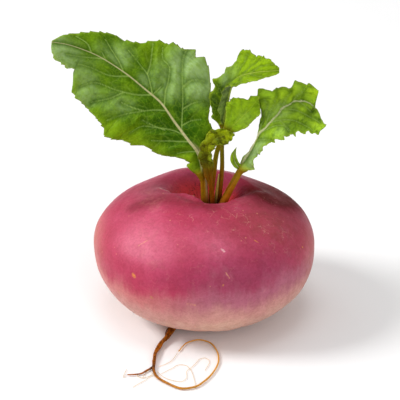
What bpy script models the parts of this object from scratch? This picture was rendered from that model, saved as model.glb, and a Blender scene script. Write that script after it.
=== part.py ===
"""A turnip: a squat bulb with its taproot and a rosette of young leaves.

Metres, +Z up. The origin is the middle of the small flat spot that the bulb rests on.
+X is to the right and +Y to the back when the big leaf leans left.
Dimensions and stations below are in millimetres from the foot of the bulb's axis, and
placed() turns them into metres from the origin.
"""
import math

import bmesh
import bpy
import numpy as np
from mathutils import Matrix, Vector

MM = 0.001
GAP = 0.3                      # room between neighbouring nodes

# Bulb, mm
BULB_RADIUS = 44.0             # at the widest ring
WIDEST_HEIGHT = 28.0           # of the widest ring above the resting spot
UNDERSIDE_DEPTH = 28.5         # from the widest ring to the lowest point before it is flattened
UNDERSIDE_SQUARENESS = 2.4     # exponent of the superellipse below the widest ring
FRONT_FULLNESS = 0.5           # added to that exponent towards the front
CREST_RADIUS = 17.0            # of the ring that surrounds the crown's hollow
CREST_RISE = 23.0              # of that ring above the widest ring
DISH_DEPTH = 2.5               # gentle dish inside the crest
HOLE_DEPTH = 6.8               # steep hole that the leaf stalks stand in
HOLE_INNER = 7.2               # radius of its floor
CROWN_SHIFT = 3.8              # the crown sits to the right of the bulb's middle
CROWN_TILT = 0.05              # and its left side is a little higher
FOOT_X, FOOT_Y = 1.2, 2.0      # the resting spot sits right of and behind the bulb's axis
AROUND = 48

# How far the hole's wall reaches from its middle, mm, by direction in degrees: 0 right, 90 back
HOLE_REACH = [
    (-180, 24), (-165, 20), (-150, 13.5), (-95, 13.5), (-54, 12), (-26, 11.5),
    (8, 14), (50, 17), (90, 18), (140, 23), (180, 24),
]

# Root, mm: points along the floor with the root's radius there
STUB = [
    (-3, -6, 5.5, 3.2), (-6, -11, 3.2, 2.2), (-9, -16.5, 1.9, 1.6), (-11.3, -21.5, 1.4, 1.25),
    (-12.6, -25.1, 1.25, 1.15),
]
TAPROOT = [
    (-12.75, -25.5, 1.15), (-14, -29, 1.05), (-17, -35, 0.9), (-18.6, -41, 0.8), (-19, -48.5, 0.7),
    (-19, -53.5, 0.62), (-17.5, -58.5, 0.56), (-13.5, -62.8, 0.5), (-8, -66.3, 0.48), (-3, -64.8, 0.45),
    (0, -61.2, 0.42), (3.5, -54.5, 0.4), (5.5, -46, 0.38), (4.8, -39, 0.35), (1.8, -32.5, 0.33),
    (-2, -30.7, 0.3), (-6.2, -32.6, 0.28), (-9.9, -39.5, 0.26),
]
SIDE_ROOT = [
    (-19, -49.6, 0.5), (-20, -52, 0.5), (-21.7, -53.8, 0.42), (-23.5, -55.8, 0.36), (-26, -56.5, 0.3),
    (-29, -56.8, 0.28),
]

# Leaves: each station is x, y, z of the midrib, then the half widths left and right of it, mm.
# "facing" gives the direction that the upper side faces, "lift" the angles in degrees at which
# the two halves leave the midrib, each keyed by the fraction of the leaf's length. "slow_turn" is
# used instead of SLOW_TURN where the blade bends so sharply that its rows would cross.
LEAVES = {
    "leaf_large": {
        "stations": [
            (0.2, -0.6, 0, 1.5, 1.5), (0.2, -0.3, 49, 1.5, 1.4), (0, 0, 54, 1.7, 1.4),
            (-0.6, 0.8, 59.5, 5, 1.2), (-2.5, 2.4, 65.5, 8, 1.6), (-6.5, 5, 70, 10.5, 10),
            (-11.5, 8, 76, 17, 18), (-17, 11, 83, 21.5, 23), (-23.5, 13.5, 88, 23, 22.5),
            (-29.5, 15.5, 92.5, 22.5, 17.5), (-35, 17, 96, 19.5, 13.5), (-41, 18, 99.5, 17, 10.5),
            (-47.5, 18, 102.5, 12.5, 7), (-54, 17, 105, 8, 4), (-59, 15, 106.5, 0.5, 0.5),
        ],
        "facing": [(0, (-0.3, -1, 0.1)), (0.3, (-0.1, -1, 0.35)), (1, (0, -1, 0.5))],
        "lift": [(0, 5, 5), (0.3, 0, 2), (1, 2, 0)],
        "colour": (0.10, 0.22, 0.03),
    },
    "leaf_tall": {
        "stations": [
            (5.7, 2.3, 0, 1.2, 1.2), (6.3, 2.4, 49, 1.1, 1.1), (7, 2.5, 58, 1.0, 1.0),
            (7, 2.5, 70.5, 1.0, 1.0), (7.3, 2.4, 75, 2, 1.2), (8, 2, 81, 5.5, 3), (9, 1, 88, 8, 4.2),
            (10, 0, 93, 6.8, 4.7), (11.5, -3.5, 97.5, 11, 5), (14, -8, 101, 11.8, 6.5),
            (17.5, -12, 103.5, 9.8, 5.8), (21, -14.5, 105, 7.8, 4.2), (24.5, -15.5, 105.6, 5.6, 3.3),
            (27.6, -15.8, 106, 1.5, 1.2),
        ],
        "facing": [
            (0, (-1, -0.2, 0.2)), (0.6, (-1, -0.2, 0.4)),
            (0.75, (-0.3, -0.4, 0.9)), (1, (0, -0.5, 0.85)),
        ],
        "lift": [(0, 30, 30), (0.5, 55, 60), (0.65, 40, 45), (0.75, 15, 15), (1, 5, 5)],
        "colour": (0.22, 0.36, 0.03),
    },
    "leaf_right": {
        "stations": [
            (5.9, -1.9, 0, 1.4, 1.4), (7.9, -2.5, 47, 1.6, 1.6), (10.4, -3.4, 53, 1.5, 1.6),
            (13.7, -4, 60, 1.4, 1.5), (16.7, -4.5, 67, 1.2, 5.5), (19.4, -5.1, 71, 1, 4.6),
            (21.6, -5.9, 75, 1.8, 4.9), (24.7, -7.2, 78.7, 9, 5.6), (28.7, -9.2, 81.8, 14.5, 6.4),
            (33, -11.7, 84.3, 16, 6.7), (37.4, -14.5, 86, 13, 6.6), (41.3, -17.5, 86.6, 4.5, 5.7),
            (45, -21, 85.6, 1, 4),
        ],
        "facing": [
            (0, (-0.8, -0.3, 0.5)), (0.5, (-0.5, -0.6, 0.7)),
            (0.75, (-0.1, -0.6, 0.8)), (1, (0.5, -0.6, 0.6)),
        ],
        "lift": [(0, 10, 0), (0.5, 30, 0), (0.7, 15, 0), (1, 10, 0)],
        "slow_turn": 14,
        "colour": (0.16, 0.30, 0.03),
    },
    "leaf_small": {
        "stations": [
            (2.7, 1.9, 0, 1.1, 1.1), (2.9, 1.5, 49, 1.0, 1.0), (3.8, 0.8, 57, 0.9, 0.9),
            (5.2, 0, 67.5, 0.8, 0.8), (7.8, -1, 74.5, 1.5, 1.5), (10.5, -2, 78, 3.8, 3),
            (13.5, -3, 81.5, 7.6, 4.2), (16.5, -3.5, 85, 7.4, 4.2), (19, -3.5, 88, 3, 3),
            (21, -3, 91, 0.5, 0.5),
        ],
        "facing": [(0, (0, -1, 0.2)), (1, (-0.1, -1, 0.3))],
        "lift": [(0, 5, 5), (1, 5, 5)],
        "colour": (0.20, 0.36, 0.04),
    },
    "leaf_young": {
        "stations": [
            (3.2, -1.7, 0, 0.9, 0.9), (3, -2.2, 49, 0.9, 0.9), (2.5, -3, 55, 1.2, 1),
            (1.7, -3.4, 61, 2.2, 2), (1.2, -3.9, 67, 3.1, 2.6), (2, -4.6, 72, 2.7, 2.8),
            (5, -5.3, 75, 3.6, 3.5), (8.5, -5.7, 76.2, 2.8, 3.5), (11.6, -5.8, 76.5, 0.6, 0.6),
        ],
        "facing": [(0, (-0.2, -1, 0.2)), (0.6, (-0.4, -1, 0.3)), (1, (0.1, -0.8, 0.6))],
        "lift": [(0, 10, 10), (1, 10, 10)],
        "colour": (0.34, 0.38, 0.03),
    },
    "leaf_bud": {
        "stations": [
            (-2.3, -1.5, 0, 0.8, 0.8), (-2.9, -1.7, 44, 1.1, 1.1), (-3.5, -2, 46.5, 1.2, 1.2),
            (-4.2, -2.3, 49, 0.4, 0.4),
        ],
        "facing": [(0, (1, 0.2, 0.2)), (1, (1, 0.2, 0.3))],
        "lift": [(0, 20, 20), (1, 20, 20)],
        "colour": (0.25, 0.33, 0.05),
    },
    "leaf_spike": {
        "stations": [
            (4.4, 0.6, 0, 0.6, 0.6), (4.9, 0.1, 49, 0.7, 0.7), (5.3, -0.2, 53, 0.6, 0.6),
            (5.8, -0.5, 57.5, 0.3, 0.3),
        ],
        "facing": [(0, (-1, -0.3, 0)), (1, (-1, -0.3, 0.1))],
        "lift": [(0, 20, 20), (1, 20, 20)],
        "colour": (0.45, 0.42, 0.12),
    },
}
SLOW_TURN = 6.0                # rows follow the midrib's direction averaged over this far, mm
BLADE_HALF_THICKNESS = 0.35
STALK_ROUNDNESS = 0.8          # thickness of a stalk over its width
STALK_WIDTH = 3.8              # up to this width a leaf is stalk, beyond twice this it is blade
ROW_SPACING = 2.4
COLUMNS = 9


def remove_everything():
    for thing in list(bpy.data.objects):
        bpy.data.objects.remove(thing, do_unlink=True)


def collection(name):
    made = bpy.data.collections.new(name)
    bpy.context.scene.collection.children.link(made)
    return made


def material(name, colour, roughness):
    made = bpy.data.materials.new(name)
    made.use_nodes = True
    shader = made.node_tree.nodes["Principled BSDF"]
    shader.inputs["Base Color"].default_value = (*colour, 1.0)
    shader.inputs["Roughness"].default_value = roughness
    made.diffuse_color = (*colour, 1.0)
    return made


def add_object(name, mesh, home, finish=None):
    made = bpy.data.objects.new(name, mesh)
    home.objects.link(made)
    if finish:
        mesh.materials.append(finish)
    return made


def evaluated_mesh(thing):
    """The object's mesh with its modifiers applied, welded, in world space; the object is removed."""
    graph = bpy.context.evaluated_depsgraph_get()
    mesh = bpy.data.meshes.new_from_object(thing.evaluated_get(graph))
    mesh.transform(thing.matrix_world)
    weld = bmesh.new()
    weld.from_mesh(mesh)
    bmesh.ops.remove_doubles(weld, verts=weld.verts, dist=1e-6)
    weld.to_mesh(mesh)
    weld.free()
    bpy.data.objects.remove(thing, do_unlink=True)
    return mesh


def keyed(keys, values, at):
    """Smooth curve through values given at keys, read at each of at."""
    keys = np.asarray(keys, float)
    values = np.asarray(values, float)
    step = np.diff(keys)[:, None]
    chord = np.diff(values, axis=0) / step
    inner = (chord[:-1] * step[1:] + chord[1:] * step[:-1]) / (step[1:] + step[:-1])
    slope = np.vstack([chord[:1], inner, chord[-1:]])
    i = np.clip(np.searchsorted(keys, at, side="right") - 1, 0, len(keys) - 2)
    h = step[i]
    u = ((at - keys[i])[:, None]) / h
    return (
        (1 + 2 * u) * (1 - u) ** 2 * values[i]
        + u * (1 - u) ** 2 * h * slope[i]
        + u ** 2 * (3 - 2 * u) * values[i + 1]
        + u ** 2 * (u - 1) * h * slope[i + 1]
    )


def evenly_along(points, count):
    """Rows evenly spaced along the smooth curve through points, whose first three columns are x, y, z."""
    points = np.asarray(points, float)
    reach = np.concatenate([[0], np.cumsum(np.linalg.norm(np.diff(points[:, :3], axis=0), axis=1))])
    fine = keyed(reach, points, np.linspace(0, reach[-1], 40 * len(points)))
    run = np.concatenate([[0], np.cumsum(np.linalg.norm(np.diff(fine[:, :3], axis=0), axis=1))])
    at = np.linspace(0, run[-1], count)
    return np.stack([np.interp(at, run, column) for column in fine.T], axis=1)


def unit(vectors):
    return vectors / np.linalg.norm(vectors, axis=-1, keepdims=True)


def placed(point):
    """A point in mm from the foot of the bulb's axis, as metres from the resting spot."""
    return Vector((point[0] - FOOT_X, point[1] - FOOT_Y, point[2])) * MM


def smoothstep(low, high, value):
    t = min(max((value - low) / (high - low), 0.0), 1.0)
    return t * t * (3 - 2 * t)


def crown_height(radius):
    """Height above the widest ring inside the crest: a gentle dish."""
    return CREST_RISE - DISH_DEPTH * (1 - (radius / CREST_RADIUS) ** 2) ** 2


def hole_depth(x, y):
    """Depth of the hole in the dish's middle, whose wall is steep in front and gentle at the back left."""
    direction = np.array([math.degrees(math.atan2(y, x))])
    reach = keyed([k for k, _ in HOLE_REACH], [[r] for _, r in HOLE_REACH], direction)[0, 0]
    return HOLE_DEPTH * (1 - smoothstep(HOLE_INNER, reach, math.hypot(x, y)))


def front_fullness(y, z, radius):
    """How much wider than turned the underside is towards the front."""
    depth = min(max(-z / UNDERSIDE_DEPTH, 0.0), 0.98)
    square = UNDERSIDE_SQUARENESS
    front = square + FRONT_FULLNESS * max(-y / max(radius, 0.1), 0.0) ** 1.5
    wider = (1 - depth ** front) ** (1 / front) / (1 - depth ** square) ** (1 / square)
    return 1 + (wider - 1) * smoothstep(-28.5, -23, z)


def shoulder_height(radius):
    q = (radius - CREST_RADIUS) / (BULB_RADIUS - CREST_RADIUS)
    return CREST_RISE * max(1 - q ** 1.1, 0.0) ** 0.42


def underside_height(radius):
    square = UNDERSIDE_SQUARENESS
    return -UNDERSIDE_DEPTH * max(1 - (radius / BULB_RADIUS) ** square, 0.0) ** (1 / square)


def bulb_profile():
    """Radius and height of the turned outline, from the bottom pole up the outside into the hole."""
    quarter = [math.pi / 2 * k / 10 for k in range(11)]
    under = [BULB_RADIUS * math.sin(t) for t in quarter]
    shoulder = [CREST_RADIUS + (BULB_RADIUS - CREST_RADIUS) * math.sin(t) for t in reversed(quarter[:-1])]
    crown = [CREST_RADIUS * k / 10 for k in range(9, -1, -1)]
    points = [(r, underside_height(r)) for r in under]
    points += [(r, shoulder_height(r)) for r in shoulder]
    points += [(r, crown_height(r)) for r in crown]
    return points


def grow_unevenly(point):
    """Moves a point of the turned bulb so that its crown and its foot sit off its middle."""
    x, y, z = point
    if z > 15:
        z -= hole_depth(x, y)
    wider = front_fullness(y, z, math.hypot(x, y))
    x *= wider
    y *= wider
    up = max(z / CREST_RISE, 0.0)
    down = max(-z / UNDERSIDE_DEPTH, 0.0)
    z -= CROWN_TILT * x * up
    x += CROWN_SHIFT * up ** 2 + FOOT_X * down ** 2
    y += FOOT_Y * down ** 2
    return placed((x, y, z + WIDEST_HEIGHT))


def turned_bulb(home):
    outline = bpy.data.meshes.new("bulb_outline")
    points = [(r, 0, z) for r, z in reversed(bulb_profile())]
    outline.from_pydata(points, [(k, k + 1) for k in range(len(points) - 1)], [])
    turned = add_object("bulb_turned", outline, home)
    screw = turned.modifiers.new("turn", "SCREW")
    screw.steps = AROUND
    screw.render_steps = AROUND
    screw.use_merge_vertices = True
    screw.merge_threshold = 0.0001
    mesh = evaluated_mesh(turned)
    for vertex in mesh.vertices:
        vertex.co = grow_unevenly(vertex.co)
    return mesh


def floor_block(home):
    """Cuts the bulb off flat at the surface that it rests on."""
    block = bmesh.new()
    bmesh.ops.create_cube(block, size=0.1, matrix=Matrix.Translation((0, 0, -0.05)))
    mesh = bpy.data.meshes.new("floor_block")
    block.to_mesh(mesh)
    block.free()
    return cutter(add_object("floor_block", mesh, home))


def cutter(thing):
    thing.hide_render = True
    thing.display_type = "WIRE"
    return thing


def root_tube(name, points, home, spacing):
    """A tapering tube through points of x, y, z and radius in mm."""
    length = np.linalg.norm(np.diff(np.array(points)[:, :3], axis=0), axis=1).sum()
    rows = evenly_along(points, max(int(length / spacing), 4))
    curve = bpy.data.curves.new(name, "CURVE")
    curve.dimensions = "3D"
    curve.bevel_depth = MM
    curve.bevel_resolution = 2
    curve.use_fill_caps = True
    spline = curve.splines.new("POLY")
    spline.points.add(len(rows) - 1)
    for knot, row in zip(spline.points, rows):
        knot.co = (*placed(row), 1.0)
        knot.radius = row[3]
    return add_object(name, curve, home)


def lying(points):
    """Floor points of x, y, radius turned into x, y, z, radius, with the root's underside on the floor."""
    return [(x, y, radius + 0.05, radius) for x, y, radius in points]


def bulb(parts, cutters):
    skin = material("bulb_skin", (0.55, 0.09, 0.17), 0.35)
    body = add_object("bulb", turned_bulb(cutters), parts, skin)
    stub_mesh = evaluated_mesh(root_tube("root_stub", STUB, cutters, 2.0))
    stub = cutter(add_object("root_stub", stub_mesh, cutters))
    steps = [("root_base", "UNION", stub), ("flat_spot", "DIFFERENCE", floor_block(cutters))]
    for name, operation, tool in steps:
        boolean = body.modifiers.new(name, "BOOLEAN")
        boolean.operation = operation
        boolean.object = tool
        boolean.solver = "EXACT"
    body.data.shade_smooth()


def taproot(parts, cutters):
    """The root's tail with its side root grown out of it."""
    mesh = evaluated_mesh(root_tube("taproot_tube", lying(TAPROOT), cutters, 2.4))
    body = add_object("taproot", mesh, parts, material("root_bark", (0.35, 0.15, 0.04), 0.7))
    side_mesh = evaluated_mesh(root_tube("side_root_tube", lying(SIDE_ROOT), cutters, 2.4))
    union = body.modifiers.new("side_root", "BOOLEAN")
    union.operation = "UNION"
    union.object = cutter(add_object("side_root", side_mesh, cutters))
    union.solver = "EXACT"
    mesh.shade_smooth()


def stalk_foot():
    return WIDEST_HEIGHT + crown_height(0.0) - HOLE_DEPTH + GAP + 0.35


def leaf_rows(leaf):
    """Evenly spaced rows of the leaf: midrib and half widths, stalkness, side and upper direction, lift."""
    stations = np.array(leaf["stations"], float)
    stations[0, 2] = stalk_foot()
    length = np.linalg.norm(np.diff(stations[:, :3], axis=0), axis=1).sum()
    rows = evenly_along(stations, int(length / ROW_SPACING))
    t = np.linspace(0, 1, len(rows))
    facing = keyed([k for k, _ in leaf["facing"]], [v for _, v in leaf["facing"]], t)
    lift = np.radians(keyed([k[0] for k in leaf["lift"]], [k[1:] for k in leaf["lift"]], t))
    near = int(leaf.get("slow_turn", SLOW_TURN) / ROW_SPACING)
    at = np.arange(len(rows))
    ahead = unit(rows[np.minimum(at + near, len(rows) - 1), :3] - rows[np.maximum(at - near, 0), :3])
    ahead[0] = (0, 0, 1)
    upper = unit(facing - (facing * ahead).sum(1, keepdims=True) * ahead)
    widest_so_far = np.maximum.accumulate(rows[:, 3] + rows[:, 4])
    stalk = [1 - smoothstep(STALK_WIDTH, 2 * STALK_WIDTH, width) for width in widest_so_far]
    return rows, stalk, np.cross(ahead, upper), upper, lift


def leaf_section(row, stalk, side, upper, lift):
    """The ring around one row: upper side from left to right, then the underside back again."""
    left, right = row[3], row[4]
    top, under = [], []
    for k in range(COLUMNS):
        even = -1 + 2 * k / (COLUMNS - 1)
        round_spacing = math.sin(even * math.pi / 2)
        across = stalk * round_spacing + (1 - stalk) * even
        width, angle = (left, lift[0]) if across < 0 else (right, lift[1])
        angle *= 1 - stalk
        out = across * width
        middle = row[:3] + side * out * math.cos(angle) + upper * abs(out) * math.sin(angle)
        round_half = STALK_ROUNDNESS * width * math.sqrt(max(1 - across ** 2, 0))
        flat_half = BLADE_HALF_THICKNESS * (1 - across ** 4)
        half = stalk * round_half + (1 - stalk) * flat_half
        top.append(middle + upper * half)
        under.append(middle - upper * half)
    return top + under[-2:0:-1]


def leaf_mesh(name, leaf):
    rings = [leaf_section(*row) for row in zip(*leaf_rows(leaf))]
    count = len(rings[0])
    verts = [placed(point) for ring in rings for point in ring]
    faces = [tuple(reversed(range(count))), tuple(range(len(verts) - count, len(verts)))]
    for r in range(len(rings) - 1):
        for k in range(count):
            a, b = r * count + k, r * count + (k + 1) % count
            faces.append((a, b, b + count, a + count))
    mesh = bpy.data.meshes.new(name)
    mesh.from_pydata(verts, [], faces)
    return mesh


def leaf(name, spec, parts):
    mesh = leaf_mesh(name, spec)
    add_object(name, mesh, parts, material(name + "_green", spec["colour"], 0.45))
    mesh.shade_smooth()


def build():
    remove_everything()
    parts = collection("turnip")
    cutters = collection("cutters")
    bulb(parts, cutters)
    taproot(parts, cutters)
    for name, spec in LEAVES.items():
        leaf(name, spec, parts)


build()
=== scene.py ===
"""Looks of a turnip: a squat purple-topped bulb, its leaves and its taproot, on a pale floor.

Lengths are in millimetres from the foot of the bulb's axis, like the CAD's own numbers, and
placed() turns them into the frame's metres. In a leaf, "along" is the distance up its midrib
and "out" the distance from the midrib, negative on its left side.
"""
import math

import bpy
import numpy as np
from mathutils import Euler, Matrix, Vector, noise


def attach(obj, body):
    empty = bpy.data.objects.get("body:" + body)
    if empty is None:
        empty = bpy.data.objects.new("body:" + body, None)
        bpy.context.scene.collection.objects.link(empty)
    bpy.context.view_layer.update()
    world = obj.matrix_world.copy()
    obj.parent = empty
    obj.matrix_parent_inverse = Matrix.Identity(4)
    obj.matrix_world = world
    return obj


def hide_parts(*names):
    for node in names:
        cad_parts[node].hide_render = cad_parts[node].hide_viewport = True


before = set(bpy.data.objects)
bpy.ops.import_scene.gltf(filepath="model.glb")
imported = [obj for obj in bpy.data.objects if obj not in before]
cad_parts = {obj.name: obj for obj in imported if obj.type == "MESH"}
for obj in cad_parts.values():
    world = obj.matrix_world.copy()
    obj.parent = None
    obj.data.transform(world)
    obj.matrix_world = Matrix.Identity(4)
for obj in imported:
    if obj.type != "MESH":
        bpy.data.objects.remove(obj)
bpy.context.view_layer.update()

MM = 0.001
FOOT = np.array([1.2, 2.0, 0.0])      # the resting spot, seen from the foot of the bulb's axis

# Bulb
BULB_RADIUS = 44.0
WIDEST_HEIGHT = 28.0
UNDERSIDE_DEPTH = 28.5
UNDERSIDE_SQUARENESS = 2.4
FRONT_FULLNESS = 0.5                  # added to the squareness at the front
CREST_RADIUS = 17.0
CREST_RISE = 23.0
DISH_DEPTH = 2.5
HOLE_DEPTH = 6.8
HOLE_INNER = 7.2
# How far the hole's wall reaches from its middle, by direction in degrees: 0 right, 90 back
HOLE_REACH = [
    (-180, 24), (-165, 20), (-150, 13.5), (-95, 13.5), (-54, 12), (-26, 11.5),
    (8, 14), (50, 17), (90, 18), (140, 23), (180, 24),
]
LEFT_LIP = [(-17.5, 0.5, 50.5), (-12, -3, 50.8), (-7, -6.5, 50.8), (-2.5, -10.5, 50.8)]
FRONT_RIM = [(-27, -8), (-16, -8), (-7, -13), (3, -16.5)]     # a darker band in front of the lip
CROWN_SHIFT = 3.8
CROWN_TILT = 0.05
BULB_AROUND = 340
BULB_ROWS = (64, 80, 64)              # below the widest ring, on the shoulder, inside the crest

# Colours laid over the skin one after the other: mask, colour, the range of noise that breaks the
# colour up and how strongly it shows at either end of that range
SKIN_ZONES = [
    # The first zone is pink skin with a painted highlight, at the broad highlights on the left-front and
    # front.
    ("pink_painted_highlight", (0.64, 0.130, 0.215), 0.25, 0.7, 0.6, 1.0),
    ("purple", (0.32, 0.048, 0.112), 0.25, 0.7, 0.6, 0.95),
    ("belt", (0.34, 0.032, 0.085), 0.3, 0.65, 0.4, 0.75),
    ("crimson", (0.24, 0.016, 0.036), 0.25, 0.7, 0.6, 0.95),
    ("rust", (0.37, 0.062, 0.072), 0.3, 0.7, 0.5, 0.9),
    ("mauve", (0.24, 0.050, 0.070), 0.3, 0.7, 0.6, 0.95),
    ("shade", (0.115, 0.008, 0.005), 0.25, 0.65, 0.75, 1.0),
]

# Marks on the skin: start, end, half width and colour
TAN, OLIVE, ORANGE, PALE = (0.72, 0.36, 0.16), (0.42, 0.26, 0.05), (0.80, 0.36, 0.03), (0.86, 0.60, 0.60)
SKIN_MARKS = [
    ((-27, -34.5, 31), (-26.5, -35, 30.5), 1.0, ORANGE), ((-27.5, -35, 29.5), (-29, -34, 29), 0.4, ORANGE),
    ((-20, -39, 24), (-19.5, -39, 23.5), 0.8, OLIVE), ((-33, -28, 20.5), (-30.5, -29, 18), 0.7, OLIVE),
    ((-6.5, -43, 23.5), (-3.5, -43.5, 23), 0.7, TAN), ((-5, -43, 25), (-4, -43, 24), 0.4, TAN),
    ((-25, -29, 40.5), (-21.5, -28.5, 42.5), 0.3, TAN), ((-24, -30.5, 39.5), (-19, -30, 41.5), 0.25, TAN),
    ((8, -41.5, 35.5), (9.5, -42, 33.5), 0.3, TAN), ((7, -43, 31), (7, -43, 31.2), 0.5, ORANGE),
    ((19, -29.5, 43), (20.5, -29.5, 42), 0.35, ORANGE), ((38, -19.5, 35), (38, -19.5, 35.2), 0.5, ORANGE),
    ((39.5, -18.5, 32), (38, -21.5, 28), 0.35, TAN), ((38, -21.5, 28), (38.5, -20, 21), 0.3, TAN),
    ((40.5, -17, 30), (40.5, -16.5, 24.5), 0.35, TAN), ((6.5, -35.5, 42.5), (7.5, -36, 41.5), 0.6, PALE),
]

# Leaves
STALK_WIDTH = 3.8                     # up to this width a leaf is stalk, beyond twice this it is blade
STALK_ROUNDNESS = 0.8                 # thickness of a stalk over its width
STALK_FOOT = 42.35
BRANCH_EVERY = 12                     # samples of a vein between the small branches off it
BRANCH_TURN = 50                      # degrees between a vein and its branch
BRANCH_STEPS = 16
BLADE_HALF_THICKNESS = 0.17
ROW_SPACING = 0.36
CHUNK = 4000                          # points compared with the veins at a time
SLOW_TURN = 6.0                       # rows follow the midrib's direction averaged over this far
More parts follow.
